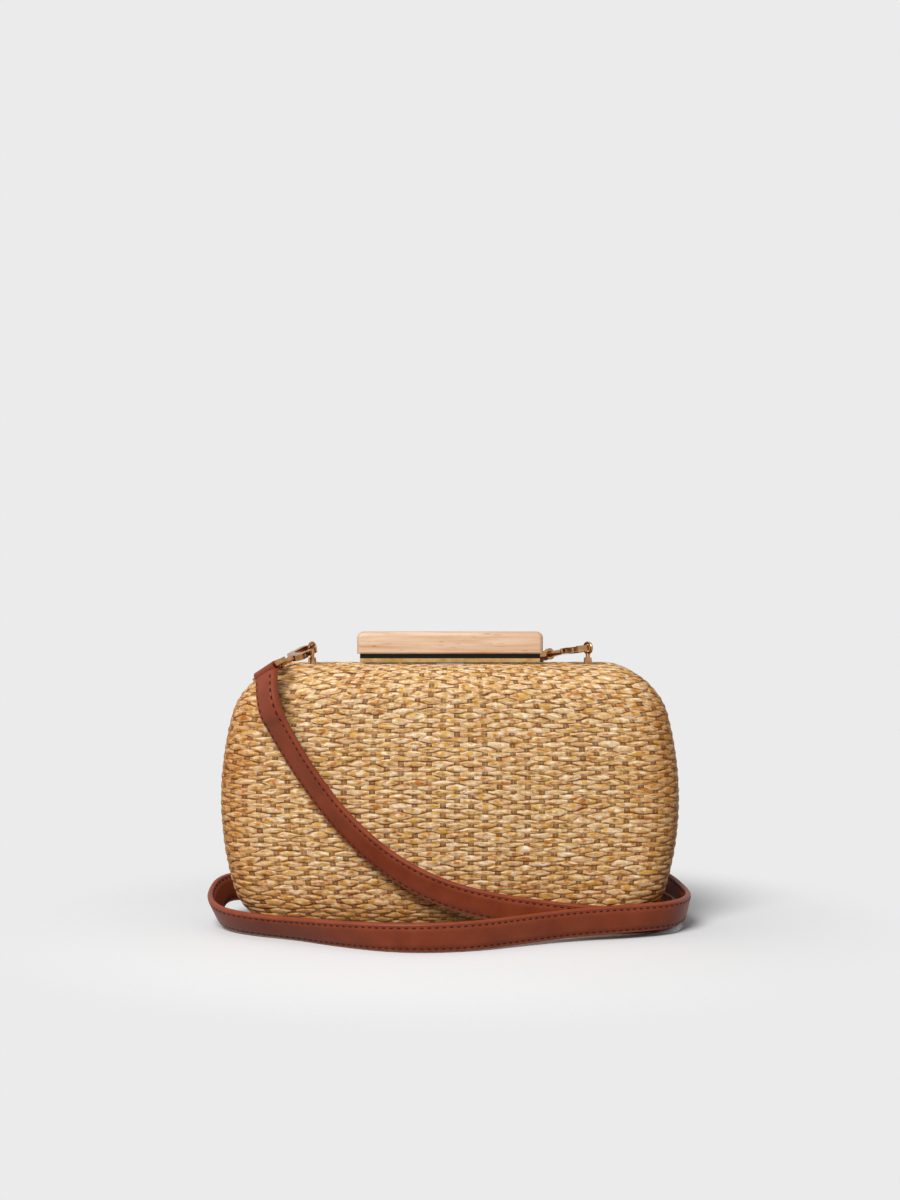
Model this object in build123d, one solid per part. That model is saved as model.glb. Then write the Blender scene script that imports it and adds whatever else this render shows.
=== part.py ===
from build123d import *
import math
import os

os.makedirs("parts", exist_ok=True)

# Case: two pillowy halves that meet at the parting plane y = 0
case_width = 200.0
case_height = 115.8
case_depth = 58.0
edge_round = 17.0
crest_depth = 12.0
rim_depth = 3.0
rim_inset = 3.4
face_dome = 2.0
foot_press = 0.6
side_bow_share = 0.125
face_share = 0.60
crest_share = 0.88
corner_across_share = 0.21
top_corner_share = 0.36
bottom_corner_share = 0.34

# Layers of each half, from the outside in
cover_thick = 1.2
board_thick = 1.5
lining_thick = 0.6
coarse_pitch = 13.0

# Plain weave of the raffia
weft_pitch = 3.2
warp_pitch = 6.6
weave_rise = 0.5

# Rim frames
frame_wall = 0.8
frame_wall_depth = 9.0
frame_fit = 0.1
parting_gap = 0.1

# Hinge along the bottom
hinge_length = 120.0
knuckle_count = 5
knuckle_radius = 1.2
knuckle_gap = 0.2
hinge_height = 1.35
hinge_leaf_thick = 0.7
hinge_leaf_edge = 1.35
hinge_pin_radius = 0.6
hinge_pin_fit = 0.05

# Eye studs
eye_inset = 39.0
eye_rise = 7.0
eye_ring_radius = 2.9
eye_hole_radius = 1.7
eye_ring_thick = 1.2
eye_ring_chamfer = 0.3
eye_post_radius = 1.0
eye_flare_radius = 1.4
eye_flare_height = 1.6
eye_shank_radius = 0.9
eye_rivet_radius = 1.35
eye_rivet_height = 0.6
eye_shank_fit = 0.05

# Clasp
bar_length = 82.0
bar_depth = 12.0
bar_height = 9.6
bar_corner = 2.6
bar_top_round = 2.0
bar_edge = 0.6
base_length = 79.5
base_depth = 7.0
base_height = 3.8
base_wall = 0.9
base_top = 1.0
bar_rise = 4.6
pivot_rise = 2.1
pivot_radius = 0.5
pivot_fit = 0.05
ear_spacing = 44.0
ear_thick = 1.4
ear_depth = 1.5
ear_rise = 3.0
web_thick = 1.2
web_gap = 0.2
web_lift = 0.2
bracket_length = 56.0
bracket_thick = 0.8
bracket_depth = 2.7
screw_spacing = 66.0
screw_radius = 0.9
screw_head_radius = 1.8
screw_head_height = 0.6
screw_reach = 4.2
screw_fit = 0.05
spring_width = 12.0
spring_thick = 0.3
spring_foot = 1.2
catch_length = 20.0
catch_thick = 0.5
catch_hold = 0.5
catch_gap = 0.2

# Trigger hooks, measured along the hook from the eye
hook_thick = 2.6
hook_width = 8.0
hook_wire = 1.7
hook_loop_length = 17.0
hook_hole_length = 10.65
mouth_start = 3.2
mouth_end = 9.0
trigger_pin_along = 10.3
trigger_pin_across = 3.15
trigger_width = 1.5
trigger_thick = 2.2
trigger_tang_thick = 1.3
trigger_gap = 0.15
trigger_fork_end = 11.9
trigger_pin_radius = 0.6
trigger_pin_fit = 0.05
trigger_nub_along = 5.6
trigger_nub_radius = 0.9
stem_radius = 1.3
stem_fit = 0.1
stem_head_radius = 1.9
stem_head_length = 1.0
ring_start = 24.6
ring_yoke = 1.6
ring_yoke_half = 2.6
ring_shoulder = 30.1
ring_bar_along = 34.6
ring_wire = 2.0
ring_corner = 1.4
ring_inside = 14.4
ring_turn_left = 31.0
ring_turn_right = 0.0
hook_spring_thick = 0.3
hook_spring_width = 1.0

# Leather strap
strap_width = 14.0
strap_thick = 2.8
strap_fold_thick = 4.0
strap_fold_length = 20.0
strap_fold_hole = 1.5
strap_fold_wall = 1.4
strap_fold_start = 2.3
strap_section_step = 9.0
strap_run_share = 0.45

half_width = case_width / 2
half_height = (case_height + foot_press) / 2
mid_height = (case_height - foot_press) / 2
half_depth = case_depth / 2
rim_top = case_height - rim_inset
rim_bottom = rim_inset - foot_press
frame_middle = -(rim_depth + parting_gap) / 2
eye_spacing = case_width - 2 * eye_inset
eye_height = case_height + eye_rise
bar_bottom = case_height + bar_rise
pivot_height = case_height + pivot_rise
ear_top = case_height + ear_rise
left_eye = Vector(-eye_spacing / 2, frame_middle, eye_height)
right_eye = Vector(eye_spacing / 2, frame_middle, eye_height)

# Where each hook points, and the route of the strap with its width directions
left_hook_aim = Vector(-18.2, -29.5, -9.2)
right_hook_aim = Vector(-18.0, 21.5, -3.9)
strap_route = [
    ((-78.4, -39.0, 101.5), (0.64, -0.58, 0.50)),
    ((-71.5, -36.0, 87.0), (0.72, -0.48, 0.50)),
    ((-60.0, -35.5, 68.0), (0.68, -0.48, 0.55)),
    ((-45.5, -35.5, 49.0), (0.60, -0.45, 0.66)),
    ((-28.0, -36.0, 33.0), (0.45, -0.36, 0.82)),
    ((-8.0, -37.5, 21.5), (0.28, -0.24, 0.93)),
    ((14.0, -39.0, 14.8), (0.12, -0.12, 0.98)),
    ((40.0, -38.5, 11.0), (0.03, 0.0, 1.0)),
    ((66.0, -35.0, 8.2), (0.0, 0.0, 1.0)),
    ((90.0, -26.0, 7.4), (0.0, 0.0, 1.0)),
    ((97.2, -8.0, 7.3), (0.0, 0.0, 1.0)),
    ((98.0, 10.0, 7.3), (0.0, 0.0, 1.0)),
    ((91.0, 27.5, 7.4), (0.0, 0.0, 1.0)),
    ((69.0, 36.0, 7.4), (0.0, 0.0, 1.0)),
    ((30.0, 37.0, 7.4), (0.0, 0.0, 1.0)),
    ((-18.0, 37.0, 7.5), (0.0, 0.0, 1.0)),
    ((-63.0, 36.5, 8.5), (0.0, 0.0, 1.0)),
    ((-90.0, 29.5, 13.5), (0.0, 0.0, 1.0)),
    ((-101.5, 12.0, 17.0), (0.0, 0.0, 1.0)),
    ((-104.0, -5.0, 9.5), (-0.15, 0.0, 1.0)),
    ((-97.0, -20.0, 7.6), (-0.30, -0.20, 0.93)),
    ((-84.0, -31.0, 7.3), (-0.20, -0.38, 0.90)),
    ((-64.0, -41.0, 7.3), (-0.10, -0.35, 0.93)),
    ((-45.0, -57.0, 7.3), (0.0, -0.20, 0.98)),
    ((-20.0, -69.0, 7.3), (0.0, 0.0, 1.0)),
    ((8.0, -65.0, 7.3), (0.0, 0.0, 1.0)),
    ((32.0, -52.5, 7.3), (0.0, 0.0, 1.0)),
    ((54.0, -43.5, 7.4), (0.0, 0.0, 1.0)),
    ((77.0, -38.0, 7.6), (0.0, 0.0, 1.0)),
    ((96.0, -29.5, 7.8), (0.0, 0.0, 1.0)),
    ((103.5, -12.0, 8.3), (0.0, 0.0, 1.0)),
    ((103.5, 8.0, 9.5), (0.0, 0.0, 1.0)),
    ((101.0, 25.0, 12.0), (0.0, 0.0, 1.0)),
    ((88.0, 39.5, 17.0), (0.25, 0.10, 0.95)),
    ((72.0, 42.0, 28.0), (0.60, 0.0, 0.80)),
    ((60.0, 42.0, 44.0), (0.82, 0.0, 0.57)),
    ((49.5, 41.0, 62.0), (0.88, 0.0, 0.47)),
    ((41.0, 40.0, 80.0), (0.96, 0.08, 0.27)),
    ((35.6, 38.2, 98.5), (0.93, 0.33, 0.15)),
    ((32.6, 32.4, 111.5), (0.78, 0.62, 0.10)),
]


def row_limit(row):
    """Largest column of a row, on the rounded rectangle of the case."""
    corner = top_corner_share if row > 0 else bottom_corner_share
    past = (abs(row) - (1 - corner)) / corner
    if past <= 0:
        return 1.0
    return 1 - corner_across_share + corner_across_share * math.sqrt(max(0, 1 - past * past))


def outline_level(across, up):
    """Level of a point: 0 at the middle of the face, 1 on the rim."""
    corner = top_corner_share if up > 0 else bottom_corner_share
    a, b = abs(across), abs(up)
    side_start = 1 - corner_across_share
    end_start = 1 - corner
    square = (a / corner_across_share) ** 2 + (b / corner) ** 2
    middle = a * side_start / corner_across_share ** 2 + b * end_start / corner ** 2
    rest = (side_start / corner_across_share) ** 2 + (end_start / corner) ** 2 - 1
    level = max(a, b)
    if level == 0:
        return 0.0
    root = middle * middle - square * rest
    if a / level > side_start and b / level > end_start and root > 0:
        return square / (middle + math.sqrt(root))
    return level


def level_run(level, half, offset):
    """Distance from the middle of the face along one half of the case."""
    flat = half - edge_round
    if level <= face_share:
        return flat * level / face_share
    if level <= crest_share:
        turn = math.pi / 2 * (level - face_share) / (crest_share - face_share)
        return flat + (edge_round - offset) * math.sin(turn)
    turn = math.pi / 2 * (level - crest_share) / (1 - crest_share)
    return half - offset - rim_inset * (1 - math.cos(turn))


def level_depth(level, offset):
    """Distance from the parting plane at one level."""
    if level <= face_share:
        return half_depth - offset - face_dome * (level / face_share) ** 2
    if level <= crest_share:
        turn = math.pi / 2 * (level - face_share) / (crest_share - face_share)
        edge = half_depth - offset - face_dome
        return edge - (edge - crest_depth) * (1 - math.cos(turn))
    turn = math.pi / 2 * (level - crest_share) / (1 - crest_share)
    return crest_depth - (crest_depth - rim_depth) * math.sin(turn)


def case_point(column, row, offset, side):
    """Point of a half, offset inward from its outer form; side is -1 in front and 1 behind."""
    across = column * row_limit(row)
    level = outline_level(across, row)
    depth = side * level_depth(level, offset)
    if level == 0:
        return Vector(0, depth, mid_height)
    rise = row / level * level_run(level, half_height, offset)
    bow = 1 - side_bow_share * (rise / half_height) ** 2
    width = across / level * level_run(level, half_width, offset) * bow
    return Vector(width, depth, max(mid_height + rise, max(offset, 0)))


def even_levels(half, pitch):
    """Levels from rim to rim, spaced evenly along the surface."""
    round_height = half_depth - face_dome - crest_depth
    rim_height = crest_depth - rim_depth
    runs = [half - edge_round]
    runs.append(math.pi / 2 * math.sqrt((edge_round ** 2 + round_height ** 2) / 2))
    runs.append(math.pi / 2 * math.sqrt((rim_inset ** 2 + rim_height ** 2) / 2))
    stops = [0, face_share, crest_share, 1]
    count = max(round(sum(runs) / pitch), len(runs))
    levels = []
    for step in range(count + 1):
        left = sum(runs) * step / count
        piece = 0
        while piece < len(runs) - 1 and left > runs[piece]:
            left -= runs[piece]
            piece += 1
        levels.append(stops[piece] + (stops[piece + 1] - stops[piece]) * min(1, left / runs[piece]))
    return [-level for level in reversed(levels[1:])] + levels


def plain_grid(offset, side, pitch_up, pitch_across):
    """Points of one smooth layer surface, row by row."""
    rows = even_levels(half_height, pitch_up)
    columns = even_levels(half_width, pitch_across)
    return [[case_point(c, r, offset, side) for c in columns] for r in rows]


def woven_grid(side):
    """Points of the woven surface: the weft goes over and under the warp by turns."""
    rows = even_levels(half_height, weft_pitch)
    columns = even_levels(half_width, warp_pitch)
    grid = []
    for j, row in enumerate(rows):
        line = []
        for i, column in enumerate(columns):
            smooth = case_point(column, row, 0, side)
            on_rim = j in (0, len(rows) - 1) or i in (0, len(columns) - 1)
            rise = weave_rise if (i + j) % 2 else -weave_rise
            if on_rim or smooth.Z <= 0:
                line.append(smooth)
            else:
                line.append(case_point(column, row, -rise, side))
        grid.append(line)
    return grid


def grid_faces(grid):
    """Flat triangles over a grid of points."""
    faces = []
    for j in range(len(grid) - 1):
        for i in range(len(grid[0]) - 1):
            a, b = grid[j][i], grid[j][i + 1]
            c, d = grid[j + 1][i + 1], grid[j + 1][i]
            if (a - c).length <= (b - d).length:
                triangles = [(a, b, c), (a, c, d)]
            else:
                triangles = [(a, b, d), (b, c, d)]
            faces += [Face(Wire.make_polygon(corners)) for corners in triangles]
    return faces


def grid_rim(grid):
    """Closed rim of a grid of points."""
    points = grid[0][:-1]
    points += [line[-1] for line in grid[:-1]]
    points += grid[-1][:0:-1]
    points += [line[0] for line in grid[:0:-1]]
    return Wire.make_polygon(points)


def layer(outer, inner):
    """One shell between two surfaces, closed by a flat rim."""
    rim = Face(grid_rim(outer), [grid_rim(inner)])
    solid = Solid(Shell(grid_faces(outer) + grid_faces(inner) + [rim]))
    return solid if solid.volume > 0 else -solid


def coarse_grid(offset, side):
    return plain_grid(offset, side, coarse_pitch, coarse_pitch)


def raffia_cover(side):
    return layer(woven_grid(side), coarse_grid(cover_thick, side))


def board_shell(side):
    outer = coarse_grid(cover_thick, side)
    return layer(outer, coarse_grid(cover_thick + board_thick, side))


def lining(side):
    start = cover_thick + board_thick
    return layer(coarse_grid(start, side), coarse_grid(start + lining_thick, side))


def rim_prism(offset, depth_from, depth_to, side):
    """Prism over the outline of the mouth, between two depths."""
    points = grid_rim(coarse_grid(offset, side))
    shift = side * depth_from - side * rim_depth
    face = Face(points).moved(Location((0, shift, 0)))
    return Solid.extrude(face, Vector(0, side * (depth_to - depth_from), 0))


def rim_frame(side):
    """Rim casting: a bar that meets the other half, and a wall inside the lining."""
    layers = cover_thick + board_thick + lining_thick
    inside = layers + frame_wall
    bar = rim_prism(0, parting_gap, rim_depth, side)
    wall = rim_prism(layers + frame_fit, rim_depth, frame_wall_depth, side)
    mouth = rim_prism(inside + frame_fit, parting_gap, frame_wall_depth, side)
    frame = bar + wall - mouth
    if side < 0:
        for eye in (left_eye, right_eye):
            place = Plane((eye.X, frame_middle, rim_top - inside))
            hole = Cylinder(eye_shank_radius + eye_shank_fit, 2 * inside)
            frame -= place * hole
    return frame


def knuckle_span(index):
    pitch = hinge_length / knuckle_count
    start = -hinge_length / 2 + index * pitch
    return start + knuckle_gap / 2, start + pitch - knuckle_gap / 2


def hinge_leaf(side):
    """Leaf under the rim frame with every other knuckle of the barrel."""
    leaf_width = rim_depth - hinge_leaf_edge
    leaf_middle = side * (rim_depth + hinge_leaf_edge) / 2
    leaf_level = rim_bottom - hinge_leaf_thick / 2
    leaf = Pos(0, leaf_middle, leaf_level) * Box(hinge_length, leaf_width, hinge_leaf_thick)
    first = 0 if side < 0 else 1
    for index in range(first, knuckle_count, 2):
        start, end = knuckle_span(index)
        middle = (start + end) / 2
        reach = Box(end - start, rim_depth, knuckle_radius)
        top = hinge_height + knuckle_radius - knuckle_radius / 2
        leaf += Pos(middle, side * rim_depth / 2, top) * reach
        leaf += Pos(middle, 0, hinge_height) * Rot(0, 90, 0) * Cylinder(knuckle_radius, end - start)
    bore = Cylinder(hinge_pin_radius + hinge_pin_fit, 2 * hinge_length)
    return leaf - Pos(0, 0, hinge_height) * Rot(0, 90, 0) * bore


def hinge_pin():
    return Pos(0, 0, hinge_height) * Rot(0, 90, 0) * Cylinder(hinge_pin_radius, hinge_length)


def eye_stud(eye, ring_axis):
    """Eye on a flared post, riveted through the bar of the front frame."""
    ring = Cylinder(eye_ring_radius, eye_ring_thick)
    ring -= Cylinder(eye_hole_radius, 2 * eye_ring_thick)
    ring = chamfer(ring.edges().filter_by(GeomType.CIRCLE), eye_ring_chamfer)
    stud = Plane(origin=eye, z_dir=ring_axis) * ring
    post_top = eye.Z - (eye_ring_radius + eye_hole_radius) / 2
    inside = cover_thick + board_thick + lining_thick + frame_wall + frame_fit
    shank_end = rim_top - inside - eye_rivet_height
    profile = Polyline(
        (0, post_top),
        (eye_post_radius, post_top),
        (eye_post_radius, rim_top + eye_flare_height),
        (eye_flare_radius, rim_top),
        (eye_shank_radius, rim_top),
        (eye_shank_radius, rim_top - inside),
        (eye_rivet_radius, rim_top - inside),
        (eye_rivet_radius, shank_end),
        (0, shank_end),
        close=True,
    )
    post = revolve(Plane.XZ * make_face(profile), Axis.Z)
    return stud + Pos(eye.X, eye.Y, 0) * post


def clasp_bracket():
    """Plate on the front frame with two ears that carry the rocking clasp."""
    plate = Box(bracket_length, bracket_depth, bracket_thick)
    bracket = Pos(0, frame_middle, rim_top + bracket_thick / 2) * plate
    ear_height = ear_top - rim_top
    for end in (-1, 1):
        ear = Box(ear_thick, ear_depth, ear_height)
        bracket += Pos(end * ear_spacing / 2, frame_middle, rim_top + ear_height / 2) * ear
    bore = Cylinder(pivot_radius + pivot_fit, bracket_length)
    return bracket - Pos(0, frame_middle, pivot_height) * Rot(0, 90, 0) * bore


def web_middle(end):
    return end * ((ear_spacing + ear_thick + web_thick) / 2 + web_gap)


def clasp_pivot_pin(end):
    length = ear_thick + web_thick + web_gap
    middle = (end * (ear_spacing - ear_thick) / 2 + web_middle(end) + end * web_thick / 2) / 2
    return Pos(middle, frame_middle, pivot_height) * Rot(0, 90, 0) * Cylinder(pivot_radius, length)


def clasp_base():
    """Channel under the wood bar, with a web beside each ear."""
    base_middle = bar_bottom - base_height / 2
    base = Pos(0, 0, base_middle) * Box(base_length, base_depth, base_height)
    hollow = Box(base_length - 2 * base_wall, base_depth - 2 * base_wall, base_height)
    base -= Pos(0, 0, base_middle - base_top) * hollow
    web_height = base_height - base_top - web_lift
    for end in (-1, 1):
        web = Box(web_thick, base_depth - 2 * base_wall, web_height)
        base += Pos(web_middle(end), 0, bar_bottom - base_top - web_height / 2) * web
        hole = Cylinder(screw_radius + screw_fit, 2 * base_height)
        base -= Pos(end * screw_spacing / 2, 0, bar_bottom) * hole
    bore = Cylinder(pivot_radius + pivot_fit, bracket_length)
    return base - Pos(0, frame_middle, pivot_height) * Rot(0, 90, 0) * bore


def clasp_wood_bar():
    """Beech bar with rounded top corners and top edges, eased below."""
    bar = Box(bar_length, bar_depth, bar_height)
    top_ends = bar.edges().filter_by(Axis.Y).group_by(Axis.Z)[-1]
    bar = fillet(top_ends, bar_corner)
    long_edges = bar.edges().filter_by(Axis.X).group_by(Axis.Z)
    bar = chamfer(long_edges[0], bar_edge)
    top_edges = bar.edges().filter_by(Axis.X).group_by(Axis.Z)[-1]
    bar = fillet(top_edges, bar_top_round)
    bar = Pos(0, 0, bar_bottom + bar_height / 2) * bar
    for end in (-1, 1):
        hole = Cylinder(screw_radius + screw_fit, 2 * screw_reach)
        bar -= Pos(end * screw_spacing / 2, 0, bar_bottom) * hole
    return bar


def clasp_screw(end):
    """Screw up through the base into the wood bar."""
    under = bar_bottom - base_top
    shank = Cylinder(screw_radius, screw_reach + base_top)
    screw = Pos(0, 0, under + (screw_reach + base_top) / 2) * shank
    screw += Pos(0, 0, under - screw_head_height / 2) * Cylinder(screw_head_radius, screw_head_height)
    return Pos(end * screw_spacing / 2, 0, 0) * screw


def side_strip(points, thick, width):
    """Strip bent in the YZ plane: thickness to its left, width along X."""
    outer = [Vector(0, y, z) for y, z in points]
    normals = []
    for start, end in zip(outer, outer[1:]):
        along = (end - start).normalized()
        normals.append(Vector(0, -along.Z, along.Y))
    inner = [outer[0] + normals[0] * thick]
    for point, before, after in zip(outer[1:], normals, normals[1:]):
        mitre = (before + after).normalized()
        inner.append(point + mitre * (thick / mitre.dot(before)))
    inner.append(outer[-1] + normals[-1] * thick)
    face = Face(Wire.make_polygon(outer + inner[::-1]))
    return Pos(-width / 2, 0, 0) * Solid.extrude(face, Vector(width, 0, 0))


def clasp_spring():
    """Leaf spring that lifts the front of the base back to rest."""
    floor = rim_top + bracket_thick
    under = bar_bottom - base_top
    front = frame_middle - ear_depth / 2
    points = [
        (frame_middle + spring_foot, floor),
        (frame_middle - spring_foot / 2, floor),
        (front + 2 * spring_thick, under - spring_thick),
        (front, under - spring_thick),
    ]
    return side_strip(points[::-1], spring_thick, spring_width)


def catch_leaf():
    """Spring leaf on the back frame that stands behind the rear wall of the base."""
    tip = bar_bottom - base_height + catch_hold
    upright = base_depth / 2 - base_wall - catch_gap
    points = [
        (upright, tip),
        (upright, rim_top),
        (parting_gap + catch_gap, rim_top),
    ]
    return side_strip(points[::-1], catch_thick, catch_length)


def hook_plane(eye, aim):
    """Plane of a hook: x along it from the eye, y across it, level."""
    along = aim.normalized()
    across = Vector(0, 0, 1).cross(along).normalized()
    return Plane(origin=eye, x_dir=along, z_dir=along.cross(across))


def slot_face(start, end, width):
    middle = (start + end) / 2
    return Pos(middle, 0) * SlotOverall(end - start, width)


def hook_body(place):
    """Claw with a forked seat for the trigger, and a stem with a head for the swivel."""
    tip = -hook_wire / 2
    loop_end = tip + hook_loop_length
    outline = slot_face(tip, loop_end, hook_width)
    hole_start = hook_wire / 2
    outline -= slot_face(hole_start, hole_start + hook_hole_length, hook_width - 2 * hook_wire)
    inner_side = hook_width / 2 - hook_wire
    mouth = Rectangle(mouth_end - mouth_start, hook_wire + inner_side)
    outline -= Pos((mouth_start + mouth_end) / 2, inner_side + hook_wire / 2) * mouth
    body = extrude(outline, hook_thick / 2, both=True)
    fork_start = mouth_end - trigger_gap
    fork = Box(trigger_fork_end - fork_start, hook_width / 2, trigger_tang_thick + trigger_gap)
    body -= Pos((fork_start + trigger_fork_end) / 2, inner_side - hook_wire / 2 + hook_width / 4, 0) * fork
    bore = Cylinder(trigger_pin_radius + trigger_pin_fit, 2 * hook_thick)
    body -= Pos(trigger_pin_along, trigger_pin_across, 0) * bore
    stem_end = ring_start + ring_yoke + stem_fit + stem_head_length
    stem_start = loop_end - hook_wire
    stem = Cylinder(stem_radius, stem_end - stem_start)
    body += Pos((stem_start + stem_end) / 2, 0, 0) * Rot(0, 90, 0) * stem
    head = Cylinder(stem_head_radius, stem_head_length)
    body += Pos(stem_end - stem_head_length / 2, 0, 0) * Rot(0, 90, 0) * head
    return place * body


def hook_trigger(place):
    """Lever that closes the mouth, with a thumb nub and a tang in the fork."""
    nose = mouth_start + trigger_gap
    shoulder = mouth_end - 2 * trigger_gap
    lever = Box(shoulder - nose, trigger_width, trigger_thick)
    lever = fillet(lever.edges().filter_by(Axis.Z), trigger_width / 4)
    trigger = Pos((nose + shoulder) / 2, trigger_pin_across, 0) * lever
    tang = Box(trigger_pin_along - shoulder + trigger_width / 2, trigger_width, trigger_tang_thick)
    trigger += Pos((trigger_pin_along + shoulder - trigger_width / 2) / 2, trigger_pin_across, 0) * tang
    trigger += Pos(trigger_pin_along, trigger_pin_across, 0) * Cylinder(trigger_width / 2, trigger_tang_thick)
    nub = Cylinder(trigger_nub_radius, trigger_thick)
    trigger += Pos(trigger_nub_along, trigger_pin_across + trigger_width / 2, 0) * nub
    bore = Cylinder(trigger_pin_radius + trigger_pin_fit, 2 * hook_thick)
    return place * (trigger - Pos(trigger_pin_along, trigger_pin_across, 0) * bore)


def trigger_pin(place):
    pin = Cylinder(trigger_pin_radius, hook_thick)
    return place * (Pos(trigger_pin_along, trigger_pin_across, 0) * pin)


def trigger_spring(place):
    """Leaf spring from the end of the claw to the underside of the trigger."""
    seat = hook_wire / 2 + hook_hole_length
    under = trigger_pin_across - trigger_width / 2
    reach = (mouth_start + mouth_end) / 2
    face = Face(Wire.make_polygon([
        (seat, -hook_spring_thick / 2, 0),
        (seat - hook_wire, -hook_spring_thick / 2, 0),
        (reach, under - 2 * hook_spring_thick, 0),
        (reach, under - hook_spring_thick, 0),
        (seat - hook_wire, hook_spring_thick / 2, 0),
        (seat, hook_spring_thick / 2, 0),
    ]))
    spring = Solid.extrude(face, Vector(0, 0, hook_spring_width))
    return place * (Pos(0, 0, -hook_spring_width / 2) * spring)


def swivel_ring(place, turn):
    """D-shaped ring that turns on the stem of the hook."""
    half = ring_inside / 2
    bar_end = ring_bar_along + ring_wire / 2
    outer = Polyline(
        (ring_start, -ring_yoke_half),
        (ring_start, ring_yoke_half),
        (ring_shoulder, half + ring_wire),
        (bar_end, half + ring_wire),
        (bar_end, -half - ring_wire),
        (ring_shoulder, -half - ring_wire),
        close=True,
    )
    inner_start = ring_start + ring_yoke
    inner = Polyline(
        (inner_start, -ring_wire),
        (inner_start, ring_wire),
        (ring_shoulder + ring_wire / 2, half),
        (bar_end - ring_wire, half),
        (bar_end - ring_wire, -half),
        (ring_shoulder + ring_wire / 2, -half),
        close=True,
    )
    outline = make_face(outer)
    outline = fillet(outline.vertices(), ring_corner)
    ring = extrude(outline - make_face(inner), ring_wire / 2, both=True)
    yoke = Cylinder(ring_yoke_half, ring_yoke)
    ring += Pos(ring_start + ring_yoke / 2, 0, 0) * Rot(0, 90, 0) * yoke
    bore = Cylinder(stem_radius + stem_fit, 2 * ring_yoke)
    ring -= Pos(ring_start + ring_yoke / 2, 0, 0) * Rot(0, 90, 0) * bore
    return place * (Rot(turn, 0, 0) * ring)


def ring_bar(place, turn):
    """Middle and direction of the bar that the strap is folded round."""
    middle = place.from_local_coords(Vector(ring_bar_along, 0, 0))
    swing = math.radians(turn)
    across = place.y_dir * math.cos(swing) + place.z_dir * math.sin(swing)
    return middle, across


def fold_start(middle, across, toward):
    """Where the flat strap leaves the fold round a ring bar."""
    away = toward - middle
    away = (away - across * away.dot(across)).normalized()
    return middle + away * strap_fold_start


def strap_points(left_place, right_place):
    left_middle, left_across = ring_bar(left_place, ring_turn_left)
    right_middle, right_across = ring_bar(right_place, ring_turn_right)
    points = [Vector(*point) for point, width in strap_route]
    widths = [Vector(*width) for point, width in strap_route]
    start = fold_start(left_middle, left_across, points[0])
    end = fold_start(right_middle, right_across, points[-1])
    return [start] + points + [end], [left_across] + widths + [-right_across]


def bend_radii(points):
    """Radius of each bend, from its shorter run and its turn."""
    radii = []
    for before, here, after in zip(points, points[1:], points[2:]):
        first, second = here - before, after - here
        half_turn = math.radians(first.get_angle(second)) / 2
        radii.append(strap_run_share * min(first.length, second.length) / math.tan(half_turn))
    return radii


def width_at(share, stops, widths):
    """Width direction at a share of the strap's length."""
    for index in range(len(stops) - 1):
        if share <= stops[index + 1]:
            part = (share - stops[index]) / (stops[index + 1] - stops[index])
            return widths[index] * (1 - part) + widths[index + 1] * part
    return widths[-1]


def strap_fold(middle, across):
    """Loop of leather round a ring bar."""
    place = Plane(origin=middle, z_dir=across)
    loop = Cylinder(strap_fold_hole + strap_fold_wall, strap_width)
    return place * (loop - Cylinder(strap_fold_hole, 2 * strap_width))


def shoulder_strap(left_place, right_place):
    """Flat strap lofted along its route, thicker where its ends are folded back."""
    points, widths = strap_points(left_place, right_place)
    radii = bend_radii(points)
    path = FilletPolyline(*points, radius=radii)
    runs = [(b - a).length for a, b in zip(points, points[1:])]
    stops = [sum(runs[:index]) / sum(runs) for index in range(len(points))]
    count = round(path.length / strap_section_step)
    fold_share = strap_fold_length / path.length
    step_share = strap_thick / path.length
    shares = [index / count for index in range(count + 1)]
    shares += [fold_share, fold_share + step_share, 1 - fold_share, 1 - fold_share - step_share]
    sections = []
    for share in sorted(shares):
        tangent = path.tangent_at(share)
        width = width_at(share, stops, widths)
        width = (width - tangent * width.dot(tangent)).normalized()
        folded = share <= fold_share or share >= 1 - fold_share
        thick = strap_fold_thick if folded else strap_thick
        place = Plane(origin=path.position_at(share), x_dir=width, z_dir=tangent)
        sections.append(place * Rectangle(strap_width, thick))
    strap = loft(sections, ruled=True)
    for place, turn in ((left_place, ring_turn_left), (right_place, ring_turn_right)):
        strap += strap_fold(*ring_bar(place, turn))
    flat = strap_width * strap_thick * path.length
    print("strap radii:", [round(radius, 1) for radius in radii])
    print("strap length:", round(path.length, 1), "volume share:", round(strap.volume / flat, 3))
    return strap


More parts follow.
